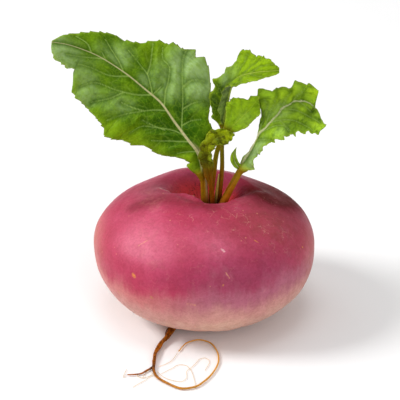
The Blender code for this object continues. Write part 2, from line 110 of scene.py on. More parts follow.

# Each leaf: "midrib" points in mm; "left" and "right" margins as points of along, half width, and
# "veins" as points of along, out. "facing" is the way the upper side faces, "fold" the angles at
# which the left and right halves leave the midrib, "curl" how much further they turn towards the
# margin, both in degrees, and "rib" the midrib's half width, all keyed by the fraction of the
# length. "zones" holds the painted zones of each kind as along, out, reach, amount. "puff" is how
# far the blade rises between its veins, "teeth" and "lobes" the depth and length of what stands out
# of the margin, "ruffle" the height and length of the margin's waves, "crumple" the height and
# fineness of the creases, "columns" the points across the leaf and "seed" its random numbers.
# Only some leaves have "rib_line", where the drawn midrib runs as points of along, out; "slow_turn"
# and "spacing" in place of SLOW_TURN and ROW_SPACING; "line_out", the out of a pale line on the
# stalk; and "all_blade", for one that has no stalk.
# The sheen zones of the leaves are painted sheen: a paler grey-green standing in for light reflected off the
# blade.
LEAVES = {
    # Each leaf's "deep" zones are mostly painted shade, on folds and on halves turned away from the light,
    # with some deeper green.
    "leaf_large": {
        "midrib": [
            (0.2, -0.6, STALK_FOOT), (0.2, -0.3, 49), (0, 0, 54), (-0.6, 0.8, 59.5),
            (-2.5, 2.4, 65.5), (-6.5, 5, 70), (-11.5, 8, 76), (-17, 11, 83), (-23.5, 13.5, 88),
            (-29.5, 15.5, 92.5), (-35, 17, 96), (-41, 18, 99.5), (-47.5, 18, 102.5), (-54, 17, 105),
            (-59, 15, 106.5),
        ],
        "left": [
            (0, 1.5), (12, 1.5), (15, 3), (18, 5.5), (19.5, 6), (21, 4.5), (27, 8), (33, 13),
            (38, 15), (41, 19), (51.5, 23), (57.5, 24.5), (59, 22), (68, 20.5), (79, 18.5), (83, 17),
            (85, 11), (85.5, 8), (89, 9), (95, 6.5), (97.5, 4), (98, 0.5),
        ],
        "right": [
            (0, 1.5), (14, 1.3), (23, 1.4), (25, 2), (26, 5.5), (27.5, 10), (31.5, 11.5), (35.5, 15),
            (43, 20.5), (49, 25), (50.5, 22), (52, 25), (54.5, 21.5), (59.5, 21.5), (60, 19.5),
            (63.5, 18.5), (68, 13), (73, 10.5), (77, 10.5), (82.5, 8.5), (89.5, 5), (94.5, 3),
            (98, 0.5),
        ],
        "veins": [
            [(34, 0), (41, 5.5), (47, 10.5), (50, 14), (53, 19), (54, 23)],
            [(41, 5.5), (40.5, 10), (39, 14)], [(47, 10.5), (46.5, 15.5), (44, 19)],
            [(36, 1.5), (35, 6), (33, 9)],
            [(46, 0), (49.5, 4), (52, 9), (55, 13), (58, 13.5), (61, 17)],
            [(52.5, 0), (56, 3), (59, 5), (63, 6), (70, 8)], [(52.5, 0), (52, 5.5)],
            [(59, 5), (60.5, 8.5), (63, 13), (64.5, 16)], [(67, 0), (70, 2), (75, 4.5), (79, 7)],
            [(81.5, 0), (84, 2.5), (89, 4)], [(75, 0), (78, 2)],
            [(32, 0), (35, -1.5), (42, -8), (46, -12.5), (47, -17)],
            [(38.5, -5), (43, -8), (48, -10)], [(29, 0), (34, -6), (38, -11.5)],
            [(24, 0), (26, -3), (28, -6.5)], [(44, 0), (50.5, -7), (57, -14), (60, -19)],
            [(50.5, -7), (56, -9), (60, -10)],
            [(52.5, 0), (57.5, -4), (65, -7.5), (75, -10), (80, -14)],
            [(62, -6.5), (65, -11.5), (71, -17)], [(64, 0), (70, -4), (80, -5.5), (85, -6)],
            [(76, 0), (83, -2.5), (91, -4)],
        ],
        "facing": [(0, (-0.3, -1, 0.1)), (0.3, (-0.1, -1, 0.35)), (1, (0, -1, 0.5))],
        "fold": [(0, 10, 12), (1, 12, 10)],
        "curl": [(0, -20, -25), (1, -30, -30)],
        "rib": [(0, 1.0), (0.25, 0.7), (0.5, 0.42), (1, 0.15)],
        "zones": {
            "painted_sheen": [
                (46, 16, 8, 0.8), (52, 19, 6, 0.6), (55, 11, 5, 0.3), (43, 20, 5, 0.5),
                (75, -15, 6, 0.6), (91, -5.5, 7, 0.9), (97, -1, 4, 0.8), (71, 4.5, 4.5, 0.7),
                (58, -10, 4, 0.45), (50, 5, 4.5, 0.6), (58, 3, 3.5, 0.5), (80, -9, 5, 0.4),
                (64, -12, 5, 0.3), (78, 2, 4, 0.3),
            ],
            "deep": [
                (36, -4, 9, 0.9), (31, 5, 5, 0.7), (47, -7, 6, 0.6), (45, 4, 4, 0.5),
                (54, -3, 5, 0.6), (57, 4, 4, 0.5), (62, 4, 5, 0.4), (70, -2, 5, 0.4),
                (40, 6, 3.5, 0.9), (44, 9, 2.5, 0.5), (54.5, -13.8, 3, 0.7),
            ],
            "lime": [
                (22, -5, 5, 0.8), (44, -19, 6, 0.8), (62, 14, 7, 0.4), (82, -14, 6, 0.4),
                (56, -22, 6, 0.6), (34, -13, 5, 0.5),
            ],
        },
        "puff": 1.8,
        "teeth": (0.8, 3.2),
        "ruffle": (0.9, 13),
        "columns": 125,
        "spacing": 0.3,
        "line_out": 1.05,
        "seed": 3,
    },
    "leaf_tall": {
        "midrib": [
            (5.7, 2.3, STALK_FOOT), (6.3, 2.4, 49), (7, 2.5, 58), (7, 2.5, 70.5), (7.3, 2.4, 75),
            (8, 2, 81), (9, 1, 88), (10, 0, 93), (11.5, -3.5, 97.5), (14, -8, 101),
            (17.5, -12, 103.5), (21, -14.5, 105), (24.5, -15.5, 105.6), (27.6, -15.8, 106),
        ],
        "left": [
            (0, 1.2), (30, 1.1), (33, 1.6), (35, 3.5), (36.5, 6), (38, 4.5), (41, 7.2), (47, 8),
            (49.5, 8.2), (51, 6.6), (56, 6.6), (57, 8.8), (57.6, 12.9), (60.2, 13), (61.4, 11.5),
            (64, 11), (67.5, 10), (71.2, 8.5), (75.4, 6.3), (77.4, 4.5), (79.6, 2.6), (80.6, 1.2),
        ],
        "right": [
            (0, 1.2), (34, 1.1), (38, 2), (43, 4), (48, 4.5), (60, 5), (64, 6.8), (66.5, 6.5),
            (70, 5), (75, 3.8), (77.4, 3), (79.6, 2), (80.6, 1),
        ],
        "veins": [
            [(59, 0), (60, -5), (60.5, -11)], [(63, 0), (66, -4), (69, -7)],
            [(68, 0), (73, -2.5), (78, -3)], [(52, 0), (55, -3), (56, -6)],
            [(45, 0), (48, -4), (49, -7)], [(38, 0), (42, -3), (44, -6)],
            [(62, 0), (66, 3), (68, 6)], [(68, 0), (72, 2), (75, 3)], [(46, 0), (51, 3)],
        ],
        "facing": [
            (0, (-1, -0.2, 0.2)), (0.6, (-1, -0.2, 0.4)), (0.75, (-0.3, -0.4, 0.9)),
            (1, (0, -0.5, 0.85)),
        ],
        "fold": [(0, 40, 40), (0.5, 60, 65), (0.65, 40, 45), (0.75, 15, 15), (1, 10, 10)],
        "curl": [(0, 0, 0), (1, -15, -10)],
        "rib": [(0, 1.2), (0.5, 0.8), (0.75, 0.35), (1, 0.15)],
        "zones": {
            "painted_sheen": [(55, -3, 4, 0.4), (52, -4.5, 2, 0.3)],
            "deep": [
                (44, -6, 4, 0.9), (48, -5, 2.5, 0.9), (51, -2, 2.5, 0.9), (54, 1.5, 3.2, 1),
                (58, 5, 3.6, 1), (66, 7, 2.5, 0.5), (61, -11.5, 1.5, 0.5), (40, -3, 4, 0.8),
                (46, 4, 3, 0.9), (52, 5, 2.5, 0.8),
            ],
            "lime": [(70, -5, 9, 0.9), (61, -10, 4, 0.7)],
        },
        "puff": 0.5,
        "teeth": (0.6, 1.8),
        "lobes": (0.6, 4.0),
        "ruffle": (0.7, 5.5),
        "crumple": (0.7, 0.32),
        "columns": 71,
        "seed": 5,
    },
    "leaf_right": {
        "midrib": [
            (5.9, -1.9, STALK_FOOT), (7.9, -2.5, 47), (10.4, -3.4, 53), (13.7, -4, 60),
            (16.7, -4.5, 67), (19.4, -5.1, 71), (21.6, -5.9, 75), (24.7, -7.2, 78.7),
            (28.7, -9.2, 81.8), (33, -11.7, 84.3), (37.4, -14.5, 86), (41.3, -17.5, 86.6),
            (45, -21, 85.6),
        ],
        "rib_line": [
            (28, 0), (31, -0.8), (36, -1.4), (41, -1.6), (44, -2.6), (46.6, -3.9), (50, -6.3),
            (52.4, -7.8), (55.2, -8), (58.8, -6.9), (61.4, -5),
        ],
        "left": [
            (0, 1.9), (20, 1.4), (33, 1), (36.3, 1.5), (38.8, 3.6), (41, 6.8), (42.2, 9.8),
            (42.8, 14), (44.2, 15.9), (48, 14.7), (48.8, 13.5), (51.4, 14.6), (53, 15.9), (56, 15.3),
            (58, 14), (59.6, 13.4), (60.4, 12.2), (60.8, 8.5), (61.2, 5.4), (63.3, 3.8), (64.3, 2.6),
            (66.5, 1.2), (68.3, 1),
        ],
        "right": [
            (0, 1.9), (19, 1.5), (20.3, 2), (23, 4.2), (26, 6.8), (27.7, 6.6), (29, 4.6),
            (30.7, 4.4), (31.3, 3.2), (32.3, 4.6), (38, 4.9), (44.4, 6.1), (52, 6.6), (55.4, 6.9),
            (58.6, 6.6), (61, 5.9), (67, 5.6), (68.3, 4.5),
        ],
        "veins": [
            [(38, -1.5), (42.8, -6.6), (44.8, -8.8), (44.6, -11.2)],
            [(41, -1.8), (43.4, -4.4), (45.4, -7.1), (47.6, -11.5)],
            [(46.6, -3.9), (48.6, -5.8), (50.4, -9.6), (51.6, -12)],
            [(52.4, -8), (54.2, -10.8), (54.8, -13.5)],
            [(37.8, -1.4), (41.6, -0.7), (45.6, -0.2), (50.2, 2), (54, 5)],
            [(34, -1.2), (38, 2), (42, 5)],
            [(43.4, -2.4), (47.6, -1.7), (52.2, -0.5), (58.8, 2.5), (64.5, 4.7)],
            [(47.6, -1.7), (51, 3), (54, 6)],
            [(49.2, -5.6), (52.6, -4.7), (57.4, -2.5), (61, -1), (65.5, -0.2)],
            [(54.2, -8), (57, -5.8), (60.8, -2.9)],
        ],
        "facing": [
            (0, (-0.8, -0.3, 0.5)), (0.5, (-0.5, -0.6, 0.7)), (0.75, (-0.1, -0.6, 0.8)),
            (1, (0.5, -0.6, 0.6)),
        ],
        "fold": [(0, 30, 10), (0.5, 30, 10), (0.7, 15, 10), (1, 10, 10)],
        "curl": [(0, 0, -20), (1, 0, -20)],
        "rib": [(0, 1.9), (0.3, 1.0), (0.5, 0.5), (0.8, 0.3), (0.93, 0.1), (1, 0.1)],
        "zones": {
            "painted_sheen": [
                (27, 3, 4.5, 1), (32, 2, 4, 0.9), (37, 3.2, 3, 0.5), (48, 4, 4, 0.3),
                (50, -5, 3.5, 0.3), (46.5, -5.6, 4, 0.35),
            ],
            "deep": [
                (42, -12, 2, 1), (41, -8, 2, 1), (39, -4.2, 2, 1), (36, -1.8, 1.6, 1),
                (59.6, -2.7, 2.2, 0.7), (61.8, -3.9, 1.5, 0.6), (49, -2.2, 1.6, 0.25),
                (60.5, 3.5, 4, 0.6), (55, 4, 4, 0.55), (40, 1.2, 3, 0.45), (53.2, -15.2, 1.5, 0.5),
                (56.8, -13.6, 1.5, 0.7), (65, -1.2, 1.2, 0.7), (67.5, 5, 1.8, 0.8),
            ],
            "lime": [
                (46, -9, 3, 0.5), (50.8, -10.5, 3, 0.6), (59.4, -11.5, 2.5, 0.9), (65, 2, 2.5, 0.3),
            ],
        },
        "puff": 0.7,
        "teeth": (0.3, 1.4),
        "lobes": (1.0, 3.6),
        "ruffle": (1.3, 4.4),
        "crumple": (1.0, 0.3),
        "slow_turn": 14,
        "columns": 91,
        "seed": 8,
    },
    "leaf_right_ear": {
        "midrib": [
            (14.6, -4.4, 61), (12.9, -4.8, 63), (11.8, -5, 65.2), (11.5, -5, 67.5), (11.9, -5, 69.3),
            (12.4, -5, 70.7),
        ],
        "left": [(0, 1), (3, 1.5), (6, 1.7), (8.5, 1.2), (10.6, 0.1)],
        "right": [(0, 1.4), (3, 1.9), (6, 1.4), (8.5, 0.7), (10.6, 0.1)],
        "veins": [[(2, 0), (5, -1)], [(2, 0), (5, 1)]],
        "facing": [(0, (-0.2, -1, 0.2)), (1, (-0.1, -1, 0.2))],
        "fold": [(0, 35, 30), (1, 20, 20)],
        "curl": [(0, 0, 0), (1, 0, 0)],
        "rib": [(0, 0.3), (1, 0.1)],
        "zones": {
            "deep": [(4, 2, 2, 0.6)],
            "lime": [(6, -1, 2, 0.7)],
        },
        "puff": 0.1,
        "teeth": (0.1, 2),
        "ruffle": (0.1, 6),
        "columns": 25,
        "all_blade": True,
        "seed": 4,
    },
    "leaf_small": {
        "midrib": [
            (2.7, 1.9, STALK_FOOT), (2.9, 1.5, 49), (3.8, 0.8, 57), (5.2, 0, 67.5), (7.8, -1, 74.5),
            (10.5, -2, 78), (13.5, -3, 81.5), (16.5, -3.5, 85), (19, -3.5, 88), (21, -3, 91),
        ],
        "left": [
            (0, 1.1), (30, 0.9), (33, 1.2), (35, 2), (39, 4.2), (43.5, 8.2), (48, 7.3), (50, 4.5),
            (50.5, 2.8), (52.5, 3), (53.6, 1.5), (54.4, 0.4),
        ],
        "right": [
            (0, 1.1), (32, 0.9), (36, 2), (38, 3), (42.5, 4.2), (46, 4), (49.5, 4.3), (51.5, 2.5),
            (53, 0.6), (54.4, 0.4),
        ],
        "veins": [
            [(40, 0), (45, -2), (49, -4.5)], [(36, 0), (42, -4), (46, -7)],
            [(38.5, 0), (43, 1.8), (48, 3.2)], [(45, 0), (49, 1.5)], [(45, 0), (50, -2)],
        ],
        "facing": [(0, (0, -1, 0.2)), (1, (-0.1, -1, 0.3))],
        "fold": [(0, 10, 10), (1, 10, 10)],
        "curl": [(0, -10, -10), (1, -10, -10)],
        "rib": [(0, 1), (0.5, 0.5), (0.7, 0.2), (1, 0.1)],
        "zones": {
            "painted_sheen": [(44, 1, 3, 0.25)],
            "deep": [(42, 4, 3, 0.3), (43.5, -4, 2, 0.3)],
            "lime": [(47, -5, 5, 0.4)],
        },
        "puff": 0.3,
        "teeth": (0.5, 1.6),
        "lobes": (0.7, 3.8),
        "ruffle": (0.8, 4.5),
        "crumple": (1.0, 0.3),
        "columns": 61,
        "seed": 12,
    },
    "leaf_young": {
        "midrib": [
            (3.5, -1.7, STALK_FOOT), (3.2, -2.2, 49), (2.5, -3, 55), (1.7, -3.4, 61),
            (1.2, -3.9, 67), (2, -4.6, 72), (5, -5.3, 75), (8.5, -5.7, 76.2), (11.6, -5.8, 76.5),
        ],
        "left": [
            (0, 0.9), (9, 0.9), (13, 1.2), (16, 2.2), (19.5, 2.2), (23, 3.4), (26, 3), (28, 3.4),
            (30.5, 2.4), (33.8, 4.2), (35, 3), (37, 3.2), (39.8, 1.4), (41.2, 0.4),
        ],
        "right": [
            (0, 0.9), (9, 0.9), (16, 1.1), (20, 2.4), (24, 3), (27, 1.8), (30, 3), (32.4, 2.4),
            (35, 3.8), (37.6, 3.8), (40.4, 1.8), (41.2, 0.4),
        ],
        "veins": [
            [(22, 0), (25, -2.5)], [(29, 0), (33, -3)], [(27, 0), (31, 2.5)], [(33, 0), (37, 2.5)],
        ],
        "facing": [(0, (-0.2, -1, 0.2)), (0.6, (-0.4, -1, 0.3)), (1, (0.1, -0.8, 0.6))],
        "fold": [(0, 30, 30), (0.5, 45, 45), (1, 20, 20)],
        "curl": [(0, 10, 10), (1, -80, -80)],
        "rib": [(0, 0.9), (0.5, 0.4), (1, 0.15)],
        "zones": {
            "deep": [(18, 0, 7, 1), (25, -2, 3, 0.8), (35.5, 2, 1.5, 0.7), (30, 0, 1.2, 0.6)],
            "lime": [(29, 2, 3, 0.8), (33, -3, 3, 0.8), (39, 1, 3, 0.8)],
        },
        "puff": 0.6,
        "teeth": (0.5, 1.3),
        "lobes": (0.9, 2.8),
        "ruffle": (1.3, 3.0),
        "crumple": (2.6, 0.55),
        "columns": 51,
        "seed": 21,
    },
    "leaf_bud": {
        "midrib": [(-2.3, -1.5, STALK_FOOT), (-2.9, -1.7, 44), (-3.5, -2, 46.5), (-4.2, -2.3, 49)],
        "left": [(0, 0.8), (1.8, 1.1), (4.4, 1.2), (7, 0.2)],
        "right": [(0, 0.8), (1.8, 1.1), (4.4, 1.2), (7, 0.2)],
        "veins": [],
        "facing": [(0, (1, 0.2, 0.2)), (1, (1, 0.2, 0.3))],
        "fold": [(0, 20, 20), (1, 20, 20)],
        "curl": [(0, 0, 0), (1, 0, 0)],
        "rib": [(0, 0.8), (1, 0.3)],
        "zones": {},
        "puff": 0.0,
        "teeth": (0.1, 1),
        "ruffle": (0, 5),
        "columns": 25,
        "seed": 2,
    },
    "leaf_spike": {
        "midrib": [(4.4, 0.6, STALK_FOOT), (4.9, 0.1, 49), (5.3, -0.2, 53), (5.8, -0.5, 57.5)],
        "left": [(0, 0.6), (6.7, 0.7), (10.7, 0.6), (15.3, 0.2)],
        "right": [(0, 0.6), (6.7, 0.7), (10.7, 0.6), (15.3, 0.2)],
        "veins": [],
        "facing": [(0, (-1, -0.3, 0)), (1, (-1, -0.3, 0.1))],
        "fold": [(0, 20, 20), (1, 20, 20)],
        "curl": [(0, 0, 0), (1, 0, 0)],
        "rib": [(0, 0.6), (1, 0.3)],
        "zones": {},
        "puff": 0.0,
        "teeth": (0.05, 1),
        "ruffle": (0, 5),
        "columns": 25,
        "seed": 2,
    },
}

# Root: floor points and the radius there
TAPROOT = [
    (-3, -6, 3.2), (-6, -11, 2.2), (-9, -16.5, 1.6), (-11.4, -21.9, 1.25), (-14, -29, 1.05),
    (-17, -35, 0.9), (-18.6, -41, 0.8), (-19, -48.5, 0.7), (-19, -53.5, 0.62), (-17.5, -58.5, 0.56),
    (-13.5, -62.8, 0.5), (-8, -66.3, 0.48), (-3, -64.8, 0.45), (0, -61.2, 0.42), (3.5, -54.5, 0.4),
    (5.5, -46, 0.38), (4.8, -39, 0.35), (1.8, -32.5, 0.33), (-2, -30.7, 0.3), (-6.2, -32.6, 0.28),
    (-9.9, -39.5, 0.26),
]
STUB_HEIGHTS = [5.5, 3.2, 1.9, 1.4]   # of the root's middle where it leaves the bulb
TWIN_END = 47.0                       # the twin strand winds round the root up to this far along it
LIE = 0.06                            # gap between the floor and a root's underside
HAIR_RADIUS = 0.09
KNOT = (-19.6, -51.5)                 # the dark place where the side root leaves
SIDE_RADII = [0.42, 0.42, 0.36, 0.32, 0.28, 0.22]
LOOSE_STRAND = [                      # x, y, z and radius of a thin strand beside the root's start
    (-11.4, -23.5, 2.4, 0.22), (-13.4, -24.6, 2.6, 0.24), (-14.8, -27.4, 2.2, 0.24),
    (-15, -30.5, 1.5, 0.22), (-14.6, -33, 1.0, 0.18),
]
SIDE_ROOT = [(-19, -49.6), (-20, -52), (-21.7, -53.8), (-23.5, -55.8), (-26, -56.5), (-29, -56.8)]
HAIRS = [
    [(-18.9, -54.4), (-21.3, -59.1), (-23.8, -61.9), (-26.5, -65)],
    [(-17.7, -53.5), (-15.8, -57), (-10.9, -60.5), (-8.3, -60.9), (-6.8, -59), (-6.5, -53.5), (-5.4, -51.3)],
    [(-16.2, -55.6), (-12.5, -52), (-9.2, -49), (-6.9, -49.5), (-5.4, -52), (-3.8, -59), (-3, -66.5)],
    [(-5.4, -52), (-3, -47.7), (-1.6, -44.8), (0.3, -44), (1.4, -45), (0.3, -53.5)],
    [(-23.7, -54.9), (-25, -57), (-22.8, -58.4), (-19.5, -56.7), (-17.3, -57.7)],
    [(-10, -39.9), (-13, -47), (-17.4, -50.6)],
    [(-29, -56.8), (-29.9, -57.9), (-29.2, -52)],
    [(-18.6, -50), (-22, -55), (-23, -58.5)],
]


# Stage, in the frame's metres
FLOOR_REACH = 2.5
FLOOR_DROP = 0.0002                   # keeps the floor clear of what lies on it
LIT_PLACE = (0, 0, 0.04)              # the middle of what the lamps point at
LAMPS = [                             # name, place, size and power
    ("window", (-1.5, 0.0, 1.24), 0.72, 26.0),
    ("ceiling", (0.0, 0.0, 2.2), 1.2, 9.6),
    ("fill", (0.7, -1.7, 0.8), 1.2, 10.0),
]
WORLD_STRENGTH = 0.48


def placed(points):
    """Points in millimetres from the foot of the bulb's axis, as points of the frame in metres."""
    return (np.asarray(points, float) - FOOT) * MM


def smoothstep(low, high, value):
    t = np.clip((value - low) / (high - low), 0.0, 1.0)
    return t * t * (3 - 2 * t)


def bell(value, middle, width):
    return np.exp(-((value - middle) / width) ** 2)


def unit(vectors):
    return vectors / np.linalg.norm(vectors, axis=-1, keepdims=True)


def noise_at(points, scale, seed=0.0):
    """Smooth noise from -1 to 1 at each point, with features about 1 / scale across."""
    flat = np.asarray(points, float).reshape(-1, 3) * scale + seed
    values = [noise.noise(point) for point in flat.tolist()]
    return np.array(values).reshape(np.asarray(points).shape[:-1])


def keyed(keys, values, at):
    """Smooth curve through values given at keys, read at each of at."""
    keys = np.asarray(keys, float)
    values = np.asarray(values, float)
    step = np.diff(keys)[:, None]
    chord = np.diff(values, axis=0) / step
    inner = (chord[:-1] * step[1:] + chord[1:] * step[:-1]) / (step[1:] + step[:-1])
    slope = np.vstack([chord[:1], inner, chord[-1:]])
    i = np.clip(np.searchsorted(keys, at, side="right") - 1, 0, len(keys) - 2)
    h = step[i]
    u = ((at - keys[i])[:, None]) / h
    return (
        (1 + 2 * u) * (1 - u) ** 2 * values[i]
        + u * (1 - u) ** 2 * h * slope[i]
        + u ** 2 * (3 - 2 * u) * values[i + 1]
        + u ** 2 * (u - 1) * h * slope[i + 1]
    )


def keyed_rows(rows, at):
    """keyed() for rows whose first entry is the key."""
    return keyed([row[0] for row in rows], [row[1:] for row in rows], at)


def evenly_along(points, spacing):
    """Rows about spacing apart along the smooth curve through points of x, y, z and anything more."""
    points = np.asarray(points, float)
    reach = np.concatenate([[0], np.cumsum(np.linalg.norm(np.diff(points[:, :3], axis=0), axis=1))])
    fine = keyed(reach, points, np.linspace(0, reach[-1], 60 * len(points)))
    run = np.concatenate([[0], np.cumsum(np.linalg.norm(np.diff(fine[:, :3], axis=0), axis=1))])
    at = np.linspace(0, run[-1], max(int(run[-1] / spacing), 4))
    return np.stack([np.interp(at, run, column) for column in fine.T], axis=1), at


def ring_faces(rings, count, first=0):
    """Faces of a closed skin over rings of count points each, with a flat end at either side."""
    last = first + (rings - 1) * count
    faces = [tuple(reversed(range(first, first + count))), tuple(range(last, last + count))]
    for r in range(rings - 1):
        for k in range(count):
            a, b = first + r * count + k, first + r * count + (k + 1) % count
            faces.append((a, b, b + count, a + count))
    return faces


def mesh_piece(name, node, points, faces, finish, masks):
    """A piece of the model from points in millimetres, with named masks at each point."""
    mesh = bpy.data.meshes.new(name)
    mesh.from_pydata(placed(points).tolist(), [], faces)
    for mask, values in masks.items():
        values = np.asarray(values, float)
        kind = "FLOAT" if values.ndim == 1 else "FLOAT_VECTOR"
        attribute = mesh.attributes.new(mask, kind, "POINT")
        attribute.data.foreach_set("value" if values.ndim == 1 else "vector", values.ravel())
    mesh.materials.append(finish)
    mesh.shade_smooth()
    piece = bpy.data.objects.new(name, mesh)
    bpy.context.scene.collection.objects.link(piece)
    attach(piece, "root")
    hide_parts(node)


# ---------------------------------------------------------------- materials

class Shader:
    """A Principled material and short ways to add nodes to it."""

    def __init__(self, name):
        self.material = bpy.data.materials.new(name)
        self.material.use_nodes = True
        self.tree = self.material.node_tree
        self.surface = self.tree.nodes["Principled BSDF"]

    def feed(self, socket, value):
        if isinstance(value, bpy.types.NodeSocket):
            self.tree.links.new(value, socket)
        elif isinstance(value, tuple) and len(value) == 3 and socket.type == "RGBA":
            socket.default_value = (*value, 1.0)
        else:
            socket.default_value = value

    def node(self, kind, inputs, **settings):
        made = self.tree.nodes.new(kind)
        for key, value in settings.items():
            setattr(made, key, value)
        for key, value in inputs.items():
            self.feed(made.inputs[key], value)
        return made

    def mask(self, name):
        return self.node("ShaderNodeAttribute", {}, attribute_name=name).outputs["Fac"]

    def place(self, name):
        return self.node("ShaderNodeAttribute", {}, attribute_name=name).outputs["Vector"]

    def mix(self, first, second, factor):
        made = self.node("ShaderNodeMix", {}, data_type="RGBA")
        for index, value in ((0, factor), (6, first), (7, second)):
            self.feed(made.inputs[index], value)
        return made.outputs[2]

    def tint(self, colour, by, factor):
        made = self.node("ShaderNodeMix", {}, data_type="RGBA", blend_type="MULTIPLY")
        for index, value in ((0, factor), (6, colour), (7, by)):
            self.feed(made.inputs[index], value)
        return made.outputs[2]

    def math(self, operation, first, second=0.0):
        return self.node("ShaderNodeMath", {0: first, 1: second}, operation=operation).outputs[0]

    def times(self, *factors):
        product = factors[0]
        for factor in factors[1:]:
            product = self.math("MULTIPLY", product, factor)
        return product

    def vector(self, operation, first, second, output=0):
        return self.node("ShaderNodeVectorMath", {0: first, 1: second}, operation=operation).outputs[output]

    def noise(self, where, scale, detail=3.0, roughness=0.55):
        inputs = {"Vector": where, "Scale": scale, "Detail": detail, "Roughness": roughness}
        return self.node("ShaderNodeTexNoise", inputs).outputs["Fac"]

    def shaken(self, where, scale, reach):
        """where, moved about by up to reach in smooth random directions."""
        inputs = {"Vector": where, "Scale": scale, "Detail": 2.0}
        colour = self.node("ShaderNodeTexNoise", inputs).outputs["Color"]
        offset = self.vector("SUBTRACT", colour, (0.5, 0.5, 0.5))
        return self.vector("ADD", where, self.vector("MULTIPLY", offset, (2 * reach,) * 3))

    def cells(self, where, scale, feature="F1", randomness=1.0):
        inputs = {"Vector": where, "Scale": scale, "Randomness": randomness}
        return self.node("ShaderNodeTexVoronoi", inputs, feature=feature)

    def ramp(self, value, low, high, to_low=0.0, to_high=1.0):
        inputs = {"Value": value, "From Min": low, "From Max": high, "To Min": to_low, "To Max": to_high}
        return self.node("ShaderNodeMapRange", inputs, interpolation_type="SMOOTHSTEP").outputs["Result"]

    def streak(self, where, start, end, half_width):
        """1 on the line from start to end and 0 from half_width away."""
        run = np.subtract(end, start)
        from_start = self.vector("SUBTRACT", where, start)
        share = self.vector("DOT_PRODUCT", from_start, tuple(run / run.dot(run)), "Value")
        share = self.math("MINIMUM", self.math("MAXIMUM", share, 0.0), 1.0)
        step = self.node("ShaderNodeVectorMath", {0: tuple(run), "Scale": share}, operation="SCALE")
        gap = self.vector("DISTANCE", where, self.vector("ADD", step.outputs[0], start), "Value")
        return self.ramp(gap, half_width, 0.3 * half_width)

    def bump(self, height, distance, strength=1.0):
        inputs = {"Height": height, "Distance": distance, "Strength": strength}
        return self.node("ShaderNodeBump", inputs).outputs["Normal"]

    def finish(self, colour, roughness, normal, specular=0.5, scatter=0.0):
        self.feed(self.surface.inputs["Base Color"], colour)
        self.feed(self.surface.inputs["Roughness"], roughness)
        self.feed(self.surface.inputs["Normal"], normal)
        self.feed(self.surface.inputs["Specular IOR Level"], specular)
        if scatter:
            self.surface.inputs["Subsurface Weight"].default_value = scatter
            self.surface.inputs["Subsurface Radius"].default_value = (1.0, 0.4, 0.25)
            self.surface.inputs["Subsurface Scale"].default_value = 0.003
        return self.material


def skin_material():
    s = Shader("turnip_skin")
    where = s.place("place_mm")
    blotches = s.noise(where, 0.075, 4.0, 0.6)
    mottling = s.noise(s.shaken(where, 0.2, 2.0), 0.3, 4.0, 0.6)
    fine = s.noise(s.shaken(where, 0.8, 0.6), 1.1, 4.0, 0.65)
    colour = s.mix((0.44, 0.038, 0.088), (0.54, 0.064, 0.142), s.ramp(blotches, 0.35, 0.7))
    for zone, tone, low, high, least, most in SKIN_ZONES:
        patches = mottling if zone == "rust" else blotches
        amount = s.times(s.mask(zone), s.ramp(patches, low, high, least, most))
        colour = s.mix(colour, tone, amount)
    fibres = s.noise(s.vector("MULTIPLY", where, (1.0, 1.0, 0.12)), 0.4, 4.0, 0.6)
    edge = s.math("ADD", s.mask("cream"), s.ramp(fibres, 0.2, 0.8, -0.09, 0.09))
    edge = s.math("ADD", edge, s.ramp(blotches, 0.2, 0.8, -0.14, 0.14))
    dusky = s.mix((0.43, 0.120, 0.180), (0.56, 0.170, 0.170), s.mask("rosy"))
    colour = s.mix(colour, dusky, s.ramp(edge, 0.0, 0.38))
    colour = s.mix(colour, (0.60, 0.29, 0.255), s.ramp(edge, 0.34, 0.85))
    colour = s.mix(colour, (0.66, 0.40, 0.31), s.ramp(edge, 0.8, 1.1))
    colour = s.mix(colour, (0.55, 0.17, 0.12), s.times(s.mask("tan"), s.ramp(mottling, 0.3, 0.7, 0.45, 0.9)))
    specks = s.ramp(s.noise(where, 0.9, 3.0, 0.7), 0.58, 0.65)
    inside = s.mix((0.62, 0.040, 0.050), (0.16, 0.010, 0.010), s.times(specks, s.mask("scaly"), 0.85))
    colour = s.mix(colour, inside, s.mask("deep"))
    colour = s.tint(colour, (0.86, 0.80, 0.80), s.ramp(mottling, 0.40, 0.64, 0.0, 0.8))
    colour = s.tint(colour, (0.90, 0.86, 0.86), s.ramp(fine, 0.42, 0.62))
    scratches = s.cells(s.shaken(where, 0.5, 1.2), 0.30, "DISTANCE_TO_EDGE").outputs["Distance"]
    broken = s.ramp(s.noise(where, 0.28, 2.0), 0.50, 0.62)
    scratched = s.times(s.ramp(scratches, 0.035, 0.0), broken, s.mask("scratched"), 0.36)
    colour = s.mix(colour, (0.78, 0.38, 0.30), scratched)
    freckles = s.cells(where, 0.30)
    chosen = s.math("GREATER_THAN", s.math("FRACT", s.times(freckles.outputs["Color"], 7.0)), 0.80)
    dots = s.times(s.ramp(freckles.outputs["Distance"], 0.13, 0.06), chosen, 0.45)
    colour = s.mix(colour, (0.74, 0.33, 0.18), dots)
    wobbly = s.shaken(where, 1.2, 0.35)
    for start, end, half_width, mark in SKIN_MARKS:
        line = s.streak(wobbly, start, end, half_width)
        colour = s.mix(colour, mark, s.times(line, s.ramp(fine, 0.3, 0.6, 0.7, 0.3)))
    # Painted highlight: a pale line along the crest of the left lip.
    for start, end in zip(LEFT_LIP, LEFT_LIP[1:]):
        colour = s.mix(colour, (0.80, 0.50, 0.46), s.times(s.streak(wobbly, start, end, 0.7), 0.6))
    height = s.math("ADD", s.times(mottling, 0.6), s.times(fine, 0.4))
    roughness = s.ramp(mottling, 0.3, 0.7, 0.38, 0.50)
    shine = s.ramp(s.mask("shade"), 0.0, 0.8, 0.15, 0.02)
    return s.finish(colour, roughness, s.bump(height, 0.0003, 0.35), shine, 0.06)


